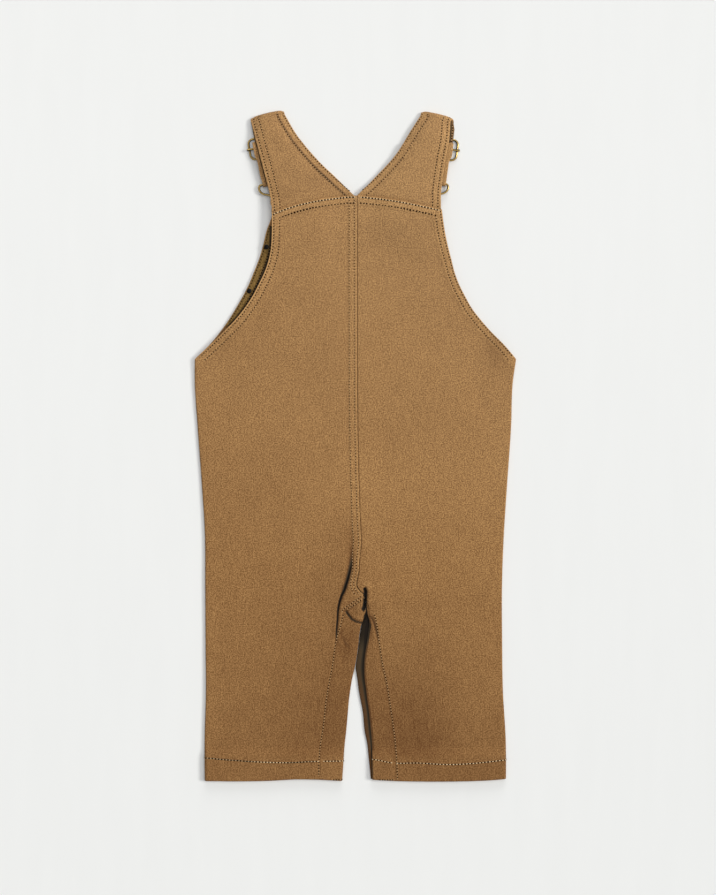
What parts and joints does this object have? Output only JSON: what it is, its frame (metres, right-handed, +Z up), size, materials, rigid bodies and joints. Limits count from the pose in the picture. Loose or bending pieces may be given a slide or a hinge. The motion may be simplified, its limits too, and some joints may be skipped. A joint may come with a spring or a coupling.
{
  "type": "toddler bib-and-brace dungarees, laid flat face down",
  "caption": "Toddler's cotton twill dungarees laid flat, back up, with crossed-in yoke straps folded over to brace sliders and hooks.",
  "frame": {"origin": "centre of the garment's box, on the plane that it lies on", "axes": "+Y from the hems to the shoulders, +X to the right seen from above with the back up, +Z up out of the plane"},
  "size_m": [0.2793, 0.5812, 0.0087],
  "materials": {
    "twill": "brown cotton twill, matt, with tonal topstitching",
    "twill_inside": "wrong side of the twill, duller and more olive",
    "brass": "antique brass wire, satin, darkened in the bends",
    "dark_stud": "blackened stud, satin"
  },
  "bodies": {
    "root": {"back_left": "twill", "back_right": "twill", "front_left": "twill", "front_right": "twill", "strap_left": "twill", "strap_right": "twill", "hem_left": "twill_inside", "hem_right": "twill_inside", "armhole_facing": "twill_inside", "facing_stud_upper": "dark_stud", "facing_stud_lower": "dark_stud", "slider_left": "brass", "slider_right": "brass", "slider_bar_left": "brass", "slider_bar_right": "brass", "hook_left": "brass", "hook_right": "brass", "button_left": "brass", "button_right": "brass"}
  },
  "joints": []
}
